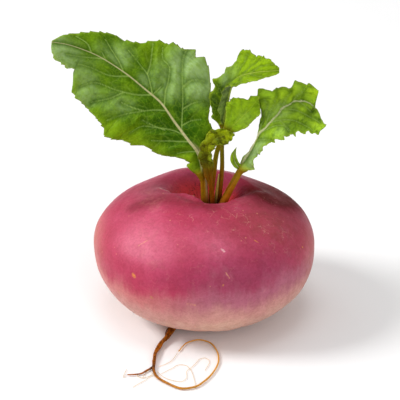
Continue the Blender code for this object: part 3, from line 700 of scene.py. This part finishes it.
def leaf_material(name, light, dark, lime, foot, stalk, rib=(0.50, 0.46, 0.24),
                  vein=0.3, beside=0.3, crease_shading=0.6):
    """A leaf's green from light to dark, on a stalk that goes from foot to stalk colour."""
    s = Shader(name)
    where = s.place("leaf_mm")
    mottling = s.noise(where, 0.16, 3.0)
    fine = s.noise(s.shaken(where, 0.9, 0.6), 0.9, 4.0, 0.6)
    middling = tuple(np.multiply(light, 0.45) + np.multiply(dark, 0.55))
    colour = s.mix(light, middling, s.ramp(mottling, 0.35, 0.7))
    # Painted shade with some deeper green: the leaf's dark colour laid over its "deep" zones.
    colour = s.mix(colour, dark, s.times(s.mask("deep"), 0.9))
    colour = s.mix(colour, lime, s.times(s.mask("lime"), 0.8))
    # Painted crease shade and light: dark green where this crease noise is low and lime where it is high.
    creases = s.noise(s.shaken(where, 0.35, 1.5), 0.42, 4.0, 0.6)
    colour = s.mix(colour, dark, s.times(s.ramp(creases, 0.52, 0.34), crease_shading))
    colour = s.mix(colour, lime, s.times(s.ramp(creases, 0.52, 0.66), crease_shading, 0.6))
    streaks = s.noise(s.vector("MULTIPLY", where, (0.35, 1.0, 1.0)), 0.5, 3.0, 0.6)
    # Painted sheen: grey-green where the blade would reflect the light, weaker next to the veins.
    sheen = s.times(s.mask("painted_sheen"), s.ramp(s.mask("vein_shade"), 0.1, 0.9, 1.0, 0.7),
                    s.ramp(streaks, 0.3, 0.6, 0.55, 1.0))
    colour = s.mix(colour, (0.29, 0.43, 0.16), sheen)
    # Painted shade: dark green laid in the dips beside the veins.
    colour = s.mix(colour, dark, s.times(s.mask("vein_shade"), beside))
    net = s.cells(s.shaken(where, 0.5, 0.8), 0.5, "DISTANCE_TO_EDGE").outputs["Distance"]
    pale = (0.34, 0.48, 0.12)
    colour = s.mix(colour, (0.26, 0.42, 0.02), s.times(s.ramp(net, 0.08, 0.0), 0.24))
    colour = s.mix(colour, pale, s.times(s.mask("vein"), vein))
    colour = s.mix(colour, (0.34, 0.44, 0.04), s.times(s.mask("edge"), 0.45))
    colour = s.mix(colour, (0.22, 0.30, 0.10), s.times(s.mask("under"), 0.5))
    # Painted crease shade on the underside as well.
    colour = s.mix(colour, dark, s.times(s.mask("under"), s.ramp(creases, 0.54, 0.36), crease_shading))
    colour = s.mix(colour, rib, s.mask("midrib"))
    along = s.mask("along")
    # Painted shade: the stalk turns nearly black-red over its first 8 mm, where it goes down into the crown's
    # hollow.
    stem = s.mix((0.055, 0.006, 0.006), foot, s.ramp(along, 0.0, 8.0))
    stem = s.mix(stem, stalk, s.ramp(along, 9.0, 24.0))
    fibres = s.noise(s.vector("MULTIPLY", where, (0.12, 1.0, 1.0)), 1.6, 3.0)
    stem = s.mix(stem, stalk, s.times(s.ramp(fibres, 0.5, 0.7), s.ramp(along, 3.0, 9.0), 0.7))
    colour = s.mix(colour, stem, s.mask("stalk"))
    colour = s.mix(colour, (0.55, 0.40, 0.24), s.times(s.mask("pale_line"), 0.85))
    colour = s.tint(colour, (0.84, 0.86, 0.70), s.ramp(fine, 0.4, 0.65))
    height = s.math("ADD", s.times(fine, 0.5), s.times(s.ramp(net, 0.0, 0.3), 0.5))
    return s.finish(colour, s.ramp(fine, 0.3, 0.7, 0.36, 0.50), s.bump(height, 0.00025, 0.5), 0.04)


def root_material():
    s = Shader("root_bark")
    where = s.place("place_mm")
    fibre = s.noise(where, 0.9, 4.0, 0.65)
    colour = s.mix((0.40, 0.115, 0.004), (0.12, 0.028, 0.002), s.ramp(fibre, 0.42, 0.62))
    colour = s.mix(colour, (0.70, 0.33, 0.05), s.mask("young"))
    colour = s.mix(colour, (0.05, 0.018, 0.01), s.times(s.mask("knot"), 0.9))
    colour = s.mix(colour, (0.74, 0.55, 0.32), s.mask("hair"))
    return s.finish(colour, s.ramp(fibre, 0.3, 0.7, 0.5, 0.7), s.bump(fibre, 0.0003, 0.6), 0.1)


def floor_material():
    s = Shader("pale_floor")
    where = s.node("ShaderNodeTexCoord", {}).outputs["Object"]
    grain = s.noise(where, 40.0, 2.0)
    colour = s.mix((0.95, 0.95, 0.95), (0.93, 0.93, 0.93), grain)
    return s.finish(colour, 0.9, s.bump(grain, 0.0001, 0.1), 0.2)


# ---------------------------------------------------------------- bulb

def crown_height(radius):
    return CREST_RISE - DISH_DEPTH * (1 - (radius / CREST_RADIUS) ** 2) ** 2


def shoulder_height(radius):
    q = (radius - CREST_RADIUS) / (BULB_RADIUS - CREST_RADIUS)
    return CREST_RISE * np.maximum(1 - q ** 1.1, 0.0) ** 0.42


def underside_height(radius):
    square = UNDERSIDE_SQUARENESS
    return -UNDERSIDE_DEPTH * np.maximum(1 - (radius / BULB_RADIUS) ** square, 0.0) ** (1 / square)


def bulb_outline():
    """Radius and height of the turned outline, from near the bottom pole up to the crown's middle."""
    below, shoulder, inside = BULB_ROWS
    t = np.linspace(0.02, math.pi / 2, below)
    under = BULB_RADIUS * np.sin(t)
    t = np.linspace(math.pi / 2, 0, shoulder)[1:]
    side = CREST_RADIUS + (BULB_RADIUS - CREST_RADIUS) * np.sin(t)
    crown = CREST_RADIUS * np.linspace(1, 0.02, inside)[1:]
    radius = np.concatenate([under, side, crown])
    height = np.concatenate([underside_height(under), shoulder_height(side), crown_height(crown)])
    return radius, height


def hole_share(radius, angle):
    """1 on the floor of the hole that the stalks stand in, falling to 0 at the top of its wall."""
    reach = keyed_rows(HOLE_REACH, np.degrees(angle).ravel()).reshape(angle.shape)
    return 1 - smoothstep(HOLE_INNER, reach, radius)


def front_fullness(y, z, radius):
    """How much wider than turned the underside is towards the front."""
    depth = np.clip(-z / UNDERSIDE_DEPTH, 0.0, 0.98)
    square = UNDERSIDE_SQUARENESS
    front = square + FRONT_FULLNESS * np.clip(-y / np.maximum(radius, 0.1), 0, 1) ** 1.5
    wider = (1 - depth ** front) ** (1 / front) / (1 - depth ** square) ** (1 / square)
    return 1 + (wider - 1) * smoothstep(-28.5, -23, z)


def grow_unevenly(points):
    """Moves points of the turned bulb so that its crown and its foot sit off its middle."""
    x, y, z = points[..., 0], points[..., 1], points[..., 2]
    wider = front_fullness(y, z, np.hypot(x, y))
    x, y = x * wider, y * wider
    up = np.maximum(z / CREST_RISE, 0.0)
    down = np.maximum(-z / UNDERSIDE_DEPTH, 0.0)
    return np.stack([
        x + CROWN_SHIFT * up ** 2 + FOOT[0] * down ** 2,
        y + FOOT[1] * down ** 2,
        z - CROWN_TILT * x * up + WIDEST_HEIGHT,
    ], axis=-1)


def line_gap(points, line):
    """Distance in plan from each point to a line through points of x, y."""
    best = np.full(points.shape[:-1], 1e9)
    for start, end in zip(line, line[1:]):
        start, run = np.array(start[:2]), np.subtract(end[:2], start[:2])
        share = np.clip(((points[..., :2] - start) @ run) / run.dot(run), 0, 1)
        best = np.minimum(best, np.linalg.norm(points[..., :2] - start - share[..., None] * run, axis=-1))
    return best


def crown_folds(radius, angle, points):
    """Height added around the hole: wrinkles that run into it, the left lip and two folds on the right."""
    around = np.stack([np.cos(angle), np.sin(angle), 0 * angle], axis=-1)
    wall = bell(radius, 10.5, 3.0)
    wrinkles = 0.45 * wall * noise_at(around, 5.0, 2.3) + 0.3 * wall * noise_at(around, 13.0, 7.1)
    lip = 0.9 * np.exp(-(line_gap(points, LEFT_LIP) / 1.6) ** 2)
    right_groove = -0.6 * np.exp(-(line_gap(points, [(11, -4.5), (16, -1), (21, 4)]) / 2.2) ** 2)
    right_fold = 0.4 * np.exp(-(line_gap(points, [(13, -6.5), (19, -2.5), (25, 3)]) / 3.2) ** 2)
    x, y = points[..., 0], points[..., 1]
    back_left = 1.3 * bell(x, -9, 9) * smoothstep(4, 14, y)
    back_right = -1.8 * bell(x, 27, 11) * smoothstep(-12, 12, y)
    return wrinkles + lip + right_groove + right_fold + back_left + back_right


def bulb_masks(points, hole):
    """Where the skin has each of its colours, from 0 to 1."""
    def zone(centre, reach, amount=1.0):
        return amount * np.exp(-(((points - np.array(centre)) / np.array(reach)) ** 2).sum(-1))
    x, y, z = points[..., 0], points[..., 1], points[..., 2]
    rosy = smoothstep(5, -25, x)
    return {
        # Pink skin and painted highlight, where the lamps would shine on the left-front and front.
        "pink_painted_highlight": np.clip(
            zone((-25, -25, 42), (12, 12, 8)) + zone((-17, -34, 40), (10, 8, 6))
            + zone((6, -35, 43), (9, 10, 6), 0.9), 0, 1),
        "purple": np.clip(zone((24, -37, 29), (20, 20, 13)) + zone((5, -42, 33), (15, 12, 8), 0.55), 0, 1),
        "belt": zone((2, -42, 34), (30, 14, 6.5)),
        "rust": np.clip(zone((22, -19, 45), (13, 12, 8)) + zone((33, -18, 38), (10, 14, 9), 0.5), 0, 1),
        "crimson": np.clip(
            1.15 * np.exp(-(line_gap(points, FRONT_RIM) / 4.2) ** 2) * smoothstep(42, 47, z)
            + zone((8, -28, 46), (8, 5, 5), 0.35), 0, 1),
        "mauve": np.clip(zone((-18, 2, 50), (11, 9, 6)) + zone((6, 27, 45), (24, 12, 9), 0.3), 0, 1),
        "shade": np.clip(
            zone((25, 0, 49), (13, 9, 7)) + zone((31, 10, 43), (15, 14, 12))
            + zone((30, 24, 42), (14, 14, 11), 0.6), 0, 1),
        "tan": np.clip(zone((-44, -4, 30), (5, 24, 20)) + zone((43, -12, 26), (5, 16, 13), 0.7), 0, 1),
        "cream": smoothstep(34, 10, z - 1.5 * smoothstep(10, 30, x) + 2.5 * rosy),
        "rosy": rosy,
        "deep": smoothstep(0.15, 0.8, hole),
        "scaly": smoothstep(4, -4, x),
        "scratched": np.clip(zone((3, -23, 48), (12, 7, 5)) + zone((23, -20, 45), (12, 11, 8)) + 0.25, 0, 1),
    }


def bulb():
    radius, height = bulb_outline()
    angle = np.linspace(-math.pi, math.pi, BULB_AROUND, endpoint=False)
    radius, angle = np.meshgrid(radius, angle, indexing="ij")
    height = np.repeat(height[:, None], BULB_AROUND, axis=1)
    hole = np.where(height > 15, hole_share(radius, angle), 0.0)
    points = np.stack([radius * np.cos(angle), radius * np.sin(angle), height - HOLE_DEPTH * hole], axis=-1)
    swell = 1 + 0.010 * noise_at(points, 0.045, 4.0) + 0.004 * noise_at(points, 0.11, 9.0)
    points[..., :2] *= swell[..., None]
    points = grow_unevenly(points)
    points[..., 2] += crown_folds(radius, angle, points) * smoothstep(12, 20, height)
    points[..., 2] += 0.35 * noise_at(points, 0.16, 3.0) * smoothstep(16, 6, points[..., 2])
    points[..., 2] = np.maximum(points[..., 2], 0.0)
    flat = points.reshape(-1, 3)
    masks = bulb_masks(flat, hole.ravel())
    masks["place_mm"] = flat
    faces = ring_faces(*points.shape[:2])
    mesh_piece("turnip_bulb", "bulb", flat, faces, skin_material(), masks)


# ---------------------------------------------------------------- leaves

def tooth_outline(along, depth, length, generator):
    """How far small forward-pointing teeth stand out of a margin at each distance along it."""
    tips = np.cumsum(generator.uniform(0.55, 1.5, int(along[-1] / length / 0.6) + 4) * length)
    sizes = generator.uniform(0.35, 1.0, len(tips)) * depth
    k = np.clip(np.searchsorted(tips, along), 1, len(tips) - 1)
    rise = (along - tips[k - 1]) / (tips[k] - tips[k - 1])
    return sizes[k] * np.clip(rise, 0, 1) ** 1.6


def margins_at(leaf, along):
    """Half widths to the left and right of the midrib at each distance along it."""
    return [np.interp(along, *zip(*leaf[side])) for side in ("left", "right")]


def vein_points(leaf):
    """Points of along, out and half width on the leaf's veins, and on the small branches off them."""
    main, small = [], []
    for vein in leaf["veins"]:
        line, _ = evenly_along([(*point, 0) for point in vein], 0.3)
        thickness = np.linspace(0.24, 0.12, len(line))
        main += [(*point[:2], half) for point, half in zip(line, thickness)]
        for count, k in enumerate(range(BRANCH_EVERY, len(line) - 3, BRANCH_EVERY)):
            ahead = line[k] - line[k - 3]
            turn = math.radians(BRANCH_TURN) * (1 if count % 2 else -1)
            lean = math.atan2(ahead[1], ahead[0]) + turn
            for step in range(BRANCH_STEPS):
                curve = lean - turn * 0.4 * step / BRANCH_STEPS
                place = line[k][:2] + 0.33 * step * np.array([math.cos(curve), math.sin(curve)])
                small.append((*place, 0.16))
    far_away = [(-99.0, -99.0, 0.1)]
    return np.array(main or far_away), np.array(small or far_away)


def nearest(points, samples):
    """Distance from each point to the nearest sample, and that sample's half width."""
    distance = np.zeros(len(points))
    half = np.zeros(len(points))
    for start in range(0, len(points), CHUNK):
        chunk = points[start:start + CHUNK]
        gap = ((chunk[:, None, :] - samples[None, :, :2]) ** 2).sum(-1)
        best = gap.argmin(1)
        distance[start:start + CHUNK] = np.sqrt(gap[np.arange(len(chunk)), best])
        half[start:start + CHUNK] = samples[best, 2]
    return distance, half


def leaf_directions(leaf, line, t):
    """The way ahead, to the right and up from the upper side at each row of the leaf."""
    near = int(leaf.get("slow_turn", SLOW_TURN) / leaf.get("spacing", ROW_SPACING))
    rows = np.arange(len(line))
    ahead = unit(line[np.minimum(rows + near, len(line) - 1)] - line[np.maximum(rows - near, 0)])
    ahead = unit(ahead + (np.array([0, 0, 1]) - ahead) * smoothstep(8, 0, rows)[:, None])
    facing = keyed_rows([(key, *value) for key, value in leaf["facing"]], t)
    upper = unit(facing - (facing * ahead).sum(1, keepdims=True) * ahead)
    return ahead, np.cross(ahead, upper), upper


def leaf_grid(leaf):
    """The leaf's middle surface as a grid of points, with the numbers that describe each point."""
    line, along = evenly_along(leaf["midrib"], leaf.get("spacing", ROW_SPACING))
    t = along / along[-1]
    generator = np.random.default_rng(leaf["seed"])
    left, right = margins_at(leaf, along)
    widest_so_far = np.maximum.accumulate(left + right)
    stalk = (1 - smoothstep(STALK_WIDTH, 2 * STALK_WIDTH, widest_so_far))[:, None]
    if leaf.get("all_blade"):
        stalk = 0 * stalk
    even = np.linspace(-1, 1, leaf["columns"])[None, :]
    across = stalk * np.sin(even * math.pi / 2) + (1 - stalk) * np.sign(even) * np.abs(even) ** 1.25
    width = np.where(across < 0, left[:, None], right[:, None])
    depth, spacing = leaf["teeth"]
    teeth = np.stack([tooth_outline(along, depth, spacing, generator) for _ in range(2)], axis=1)
    tooth = np.where(across < 0, teeth[:, :1], teeth[:, 1:]) * smoothstep(2, 6, width)
    lobe_depth, lobe_length = leaf.get("lobes", (0.0, 1.0))
    down = np.stack([along, 0 * along, 0 * along], axis=-1)
    wander = 1.6 * noise_at(down, 0.13, leaf["seed"] + 5.0)[:, None]
    lobe_phase = math.pi * along[:, None] / lobe_length + np.where(across < 0, 0.4, 1.7) + wander
    lobes = lobe_depth * (np.sqrt(np.abs(np.sin(lobe_phase))) - 0.8) * smoothstep(2.5, 7, width)
    reach = width + tooth * np.abs(across) ** 5 + lobes * np.abs(across) ** 4
    fold = np.radians(keyed_rows(leaf["fold"], t))
    curl = np.radians(keyed_rows(leaf["curl"], t))
    fold = np.where(across < 0, fold[:, :1], fold[:, 1:]) * (1 - stalk)
    curl = np.where(across < 0, curl[:, :1], curl[:, 1:]) * (1 - stalk)
    ahead, side, upper = leaf_directions(leaf, line, t)
    steps = (np.arange(16) + 0.5) / 16
    lean = fold[..., None] + curl[..., None] * np.abs(across)[..., None] * steps
    out = across * reach
    flat_out = out * np.cos(lean).mean(-1)
    lift = np.abs(out) * np.sin(lean).mean(-1)
    forward = 0.4 * tooth * np.abs(across) ** 5
    height, wave = leaf["ruffle"]
    drift = 1.3 * noise_at(down, 0.11, leaf["seed"])[:, None]
    phase = 2 * (np.where(across < 0, 0.7, 2.9) + drift)
    waves = np.sin(2 * math.pi * along[:, None] / wave + phase) * np.abs(across) ** 2.2
    lift = lift + waves * height * smoothstep(3, 9, width) * (1 - stalk)
    crumple, fineness = leaf.get("crumple", (0.0, 1.0))
    place = np.stack([along[:, None] + 0 * out, out, 0 * out], axis=-1)
    coarse = noise_at(place, fineness, leaf["seed"])
    wrinkled = coarse + 0.45 * noise_at(place, 2.4 * fineness, leaf["seed"] + 3.0)
    lift = lift + crumple * wrinkled * smoothstep(0, 1, np.abs(across)) * (1 - stalk)
    points = line[:, None] + side[:, None] * flat_out[..., None] + upper[:, None] * lift[..., None]
    points = points + ahead[:, None] * forward[..., None]
    full = np.ones_like(out)
    return {
        "points": points, "along": along[:, None] * full, "out": out, "across": across, "width": width,
        "stalk": stalk * full, "blade": (1 - stalk) * full, "t": t,
    }


def surface_normals(points):
    ahead = np.gradient(points, axis=0)
    sideways = np.gradient(points, axis=1)
    return unit(np.cross(sideways, ahead))


def ring_order(top, under):
    """Top columns left to right, then the underside back again without its two shared margins."""
    return np.concatenate([top, under[:, -2:0:-1]], axis=1)


def zone_mask(leaf, grid, kind):
    """Where the blade has one of its painted zones, from 0 to 1."""
    total = 0 * grid["out"]
    for along, out, reach, amount in leaf["zones"].get(kind, []):
        gap = ((grid["along"] - along) ** 2 + (grid["out"] - out) ** 2) / reach ** 2
        total = total + amount * np.exp(-gap ** 1.5)
    return np.clip(total, 0, 1) * grid["blade"]


def leaf_skin(leaf, grid, main_gap, main_half, small_gap):
    """Heights of the upper and the lower skin over the leaf's middle surface."""
    out, across, blade, stalk = grid["out"], grid["across"], grid["blade"], grid["stalk"]
    rib = np.minimum(keyed_rows(leaf["rib"], grid["t"]), np.maximum(grid["width"], 0.3))
    from_rib = np.abs(out - np.interp(grid["along"], *zip(*leaf.get("rib_line", [(0, 0)]))))
    rib_round = np.sqrt(np.maximum(rib ** 2 - from_rib ** 2, 0.0))
    vein_gap = np.minimum(main_gap, np.maximum(from_rib - rib, 0.0))
    pillow = (1 - np.exp(-(vein_gap / 2.3) ** 2)) * (0.75 + 0.25 * (1 - np.exp(-(small_gap / 1.2) ** 2)))
    place = np.stack([grid["along"], out, 0 * out], axis=-1)
    pillow = pillow * (1 + 0.35 * noise_at(place, 0.35, leaf["seed"]))
    lifted = leaf["puff"] * pillow * (1 - np.abs(across) ** 5)
    half = BLADE_HALF_THICKNESS * (1 - np.abs(across) ** 8)
    ridge = 0.5 * np.exp(-(main_gap / np.maximum(main_half, 0.1)) ** 2) * main_half
    stalk_half = STALK_ROUNDNESS * grid["width"] * np.sqrt(np.maximum(1 - across ** 2, 0.0))
    groove = 0.3 * grid["width"] * np.exp(-(across / 0.35) ** 2) * smoothstep(4, 12, grid["along"])
    top = blade * (half + lifted + 0.18 * rib_round) + stalk * (stalk_half - groove)
    under = blade * (lifted - half - 0.9 * rib_round - ridge) - stalk * stalk_half
    under = np.where(np.abs(across) > 0.9999, top, under)
    return top, under, vein_gap, from_rib / rib


def leaf(name, node, finish, spec):
    grid = leaf_grid(spec)
    out, across, blade = grid["out"], grid["across"], grid["blade"]
    flat = np.stack([grid["along"], out], axis=-1).reshape(-1, 2)
    main, small = vein_points(spec)
    main_gap, main_half = [values.reshape(out.shape) for values in nearest(flat, main)]
    small_gap = nearest(flat, small)[0].reshape(out.shape)
    top, under, vein_gap, off_rib = leaf_skin(spec, grid, main_gap, main_half, small_gap)
    normals = surface_normals(grid["points"])
    verts = ring_order(grid["points"] + normals * top[..., None], grid["points"] + normals * under[..., None])
    vein = np.exp(-(main_gap / np.maximum(main_half, 0.14)) ** 2)
    from_edge = (1 - np.abs(across)) * grid["width"]
    pale_line = np.exp(-((out - spec.get("line_out", 99.0)) / 0.35) ** 2) * smoothstep(3, 12, grid["along"])
    one_sided = {
        "vein": np.maximum(vein, 0.2 * np.exp(-(small_gap / 0.22) ** 2)) * blade,
        # Where the blade dips beside its veins; the material paints shade there.
        "vein_shade": np.exp(-(vein_gap / 1.0) ** 2) * blade,
        "midrib": smoothstep(1.1, 0.6, off_rib) * blade,
        "edge": np.exp(-(from_edge / 0.6) ** 2) * blade,
        "along": grid["along"],
        "stalk": grid["stalk"],
        "pale_line": pale_line * smoothstep(30, 20, grid["along"]),
        "painted_sheen": zone_mask(spec, grid, "painted_sheen"),
        "deep": zone_mask(spec, grid, "deep"),
        "lime": zone_mask(spec, grid, "lime"),
    }
    masks = {key: ring_order(values, values).reshape(-1) for key, values in one_sided.items()}
    masks["under"] = ring_order(0 * out, blade).reshape(-1)
    place = np.stack([grid["along"], out, 0 * out], axis=-1)
    masks["leaf_mm"] = ring_order(place, place).reshape(-1, 3)
    faces = ring_faces(*verts.shape[:2])
    mesh_piece(name, node, verts.reshape(-1, 3), faces, finish, masks)


def leaves():
    reddish, orange, olive = (0.27, 0.075, 0.003), (0.37, 0.13, 0.006), (0.19, 0.16, 0.004)
    large = leaf_material(
        "large_green", (0.13, 0.25, 0.004), (0.022, 0.080, 0.0005), (0.23, 0.36, 0.006),
        (0.31, 0.14, 0.003), olive, vein=0.75, beside=0.5, crease_shading=0.12)
    tall = leaf_material(
        "tall_green", (0.23, 0.38, 0.003), (0.024, 0.058, 0.001), (0.27, 0.44, 0.003),
        reddish, olive, (0.34, 0.42, 0.06), beside=0.45, crease_shading=0.45)
    right = leaf_material(
        "right_green", (0.38, 0.62, 0.03), (0.018, 0.065, 0.001), (0.42, 0.62, 0.010),
        orange, (0.30, 0.20, 0.01), (0.52, 0.54, 0.30), vein=0.55, beside=0.5, crease_shading=0.42)
    small = leaf_material(
        "small_green", (0.31, 0.52, 0.015), (0.09, 0.17, 0.002), (0.38, 0.60, 0.004),
        reddish, olive, (0.32, 0.44, 0.03), vein=0.15, crease_shading=0.45)
    young = leaf_material(
        "young_green", (0.22, 0.28, 0.002), (0.030, 0.030, 0.001), (0.42, 0.50, 0.004),
        reddish, (0.10, 0.075, 0.003), (0.20, 0.22, 0.01), vein=0.1, crease_shading=0.9)
    pale = leaf_material(
        "pale_green", (0.35, 0.38, 0.06), (0.2, 0.25, 0.04), (0.40, 0.42, 0.10),
        (0.40, 0.30, 0.06), (0.55, 0.50, 0.18))
    finishes = {
        "leaf_large": large, "leaf_tall": tall, "leaf_right": right, "leaf_right_ear": right,
        "leaf_small": small, "leaf_young": young, "leaf_bud": pale, "leaf_spike": pale,
    }
    for name, spec in LEAVES.items():
        leaf("turnip_" + name, name.removesuffix("_ear"), finishes[name], spec)


# ---------------------------------------------------------------- root

def strand(points, spacing, around, seed):
    """Verts and faces of a slightly uneven closed tube through points of x, y, z and radius."""
    rows, along = evenly_along(points, spacing)
    line, radius = rows[:, :3], rows[:, 3]
    ahead = unit(np.gradient(line, axis=0))
    side = unit(np.cross(ahead, (0, 0, 1)))
    over = np.cross(side, ahead)
    angle = np.linspace(0, 2 * math.pi, around, endpoint=False)
    rounding = np.sqrt(np.clip(np.minimum(along, along[-1] - along) / (2 * radius), 0.02, 1))
    ring = np.stack([np.cos(angle), np.sin(angle)], axis=-1)
    rough = 1 + 0.16 * noise_at(np.stack(np.broadcast_arrays(
        along[:, None] * 0.25, 1.6 * ring[None, :, 0], 1.6 * ring[None, :, 1]), axis=-1), 1.0, seed)
    size = (radius * rounding)[:, None] * rough
    verts = line[:, None] + size[..., None] * (
        side[:, None] * ring[None, :, :1] + over[:, None] * ring[None, :, 1:])
    return verts.reshape(-1, 3), ring_faces(len(rows), around), np.repeat(along, around)


def on_floor(points, radius):
    return [(x, y, radius + LIE, radius) for x, y in points]


def twin_strand(main):
    """A second, thinner strand wound round the root, which leaves it as the side root."""
    rows, along = evenly_along(main, 1.0)
    wound = along < TWIN_END
    rows, along = rows[wound], along[wound]
    ahead = unit(np.gradient(rows[:, :3], axis=0))
    side = unit(np.cross(ahead, (0, 0, 1)))
    turn = 2.6 + along / 5.2
    offset = side * np.cos(turn)[:, None] + np.cross(side, ahead) * np.abs(np.sin(turn))[:, None]
    middle = rows[:, :3] + 0.95 * rows[:, 3:4] * offset
    route = [(*place, 0.5 * radius) for place, radius in zip(middle, rows[:, 3])]
    return route + [(x, y, 0.5, radius) for (x, y), radius in zip(SIDE_ROOT, SIDE_RADII)]


def taproot():
    heights = STUB_HEIGHTS + [radius + LIE for _, _, radius in TAPROOT[len(STUB_HEIGHTS):]]
    main = [(x, y, z, radius) for (x, y, radius), z in zip(TAPROOT, heights)]
    slim = [(x, y, z, 0.85 * radius) for x, y, z, radius in main]
    strands = [(slim, 0.35, 20), (twin_strand(main), 0.35, 14), (LOOSE_STRAND, 0.3, 10)]
    strands += [(on_floor(hair, HAIR_RADIUS), 0.5, 6) for hair in HAIRS]
    verts, faces, masks = [], [], {"young": [], "knot": [], "hair": []}
    count = 0
    for number, (points, spacing, around) in enumerate(strands):
        place, skin, along = strand(points, spacing, around, 5.0 + number)
        verts.append(place)
        faces += [tuple(index + count for index in face) for face in skin]
        count += len(place)
        knot = 0.9 * np.exp(-(np.linalg.norm(place[:, :2] - KNOT, axis=1) / 1.8) ** 2)
        masks["knot"].append(np.maximum(knot, 0.8 * (number == 2)))
        masks["young"].append(smoothstep(45, 90, along) if number == 0 else 0 * along)
        masks["hair"].append(0 * along + (number > 2))
    masks = {key: np.concatenate(values) for key, values in masks.items()}
    verts = np.concatenate(verts)
    verts[:, 2] = np.maximum(verts[:, 2], 0.0)
    masks["place_mm"] = verts
    mesh_piece("turnip_taproot", "taproot", verts, faces, root_material(), masks)


# ---------------------------------------------------------------- stage

def stage():
    floor_mesh = bpy.data.meshes.new("floor")
    corners = [(x * FLOOR_REACH, y * FLOOR_REACH, 0) for x, y in ((-1, -1), (1, -1), (1, 1), (-1, 1))]
    floor_mesh.from_pydata(corners, [], [(0, 1, 2, 3)])
    floor_mesh.materials.append(floor_material())
    floor = bpy.data.objects.new("floor", floor_mesh)
    floor.location.z = -FLOOR_DROP
    bpy.context.scene.collection.objects.link(floor)


def soft_light(name, place, aim, size, power):
    lamp = bpy.data.lights.new(name, "AREA")
    lamp.shape = "DISK"
    lamp.size = size
    lamp.energy = power
    thing = bpy.data.objects.new(name, lamp)
    thing.location = place
    thing.rotation_euler = (Vector(aim) - Vector(place)).to_track_quat("-Z", "Y").to_euler()
    bpy.context.scene.collection.objects.link(thing)


def lights():
    for name, place, size, power in LAMPS:
        soft_light(name, place, LIT_PLACE, size, power)
    world = bpy.data.worlds.new("studio")
    world.use_nodes = True
    world.node_tree.nodes["Background"].inputs["Color"].default_value = (1, 1, 1, 1)
    world.node_tree.nodes["Background"].inputs["Strength"].default_value = WORLD_STRENGTH
    bpy.context.scene.world = world


def camera():
    lens = bpy.data.cameras.new("camera")
    lens.lens = 135
    lens.sensor_width = 36
    view = bpy.data.objects.new("camera", lens)
    view.location = (-0.0028, -0.53885, 0.2964)
    view.rotation_euler = Euler((math.radians(65), 0, 0))
    bpy.context.scene.collection.objects.link(view)
    bpy.context.scene.camera = view


stage()
lights()
camera()
bulb()
leaves()
taproot()
bpy.context.scene.view_settings.view_transform = "Standard"
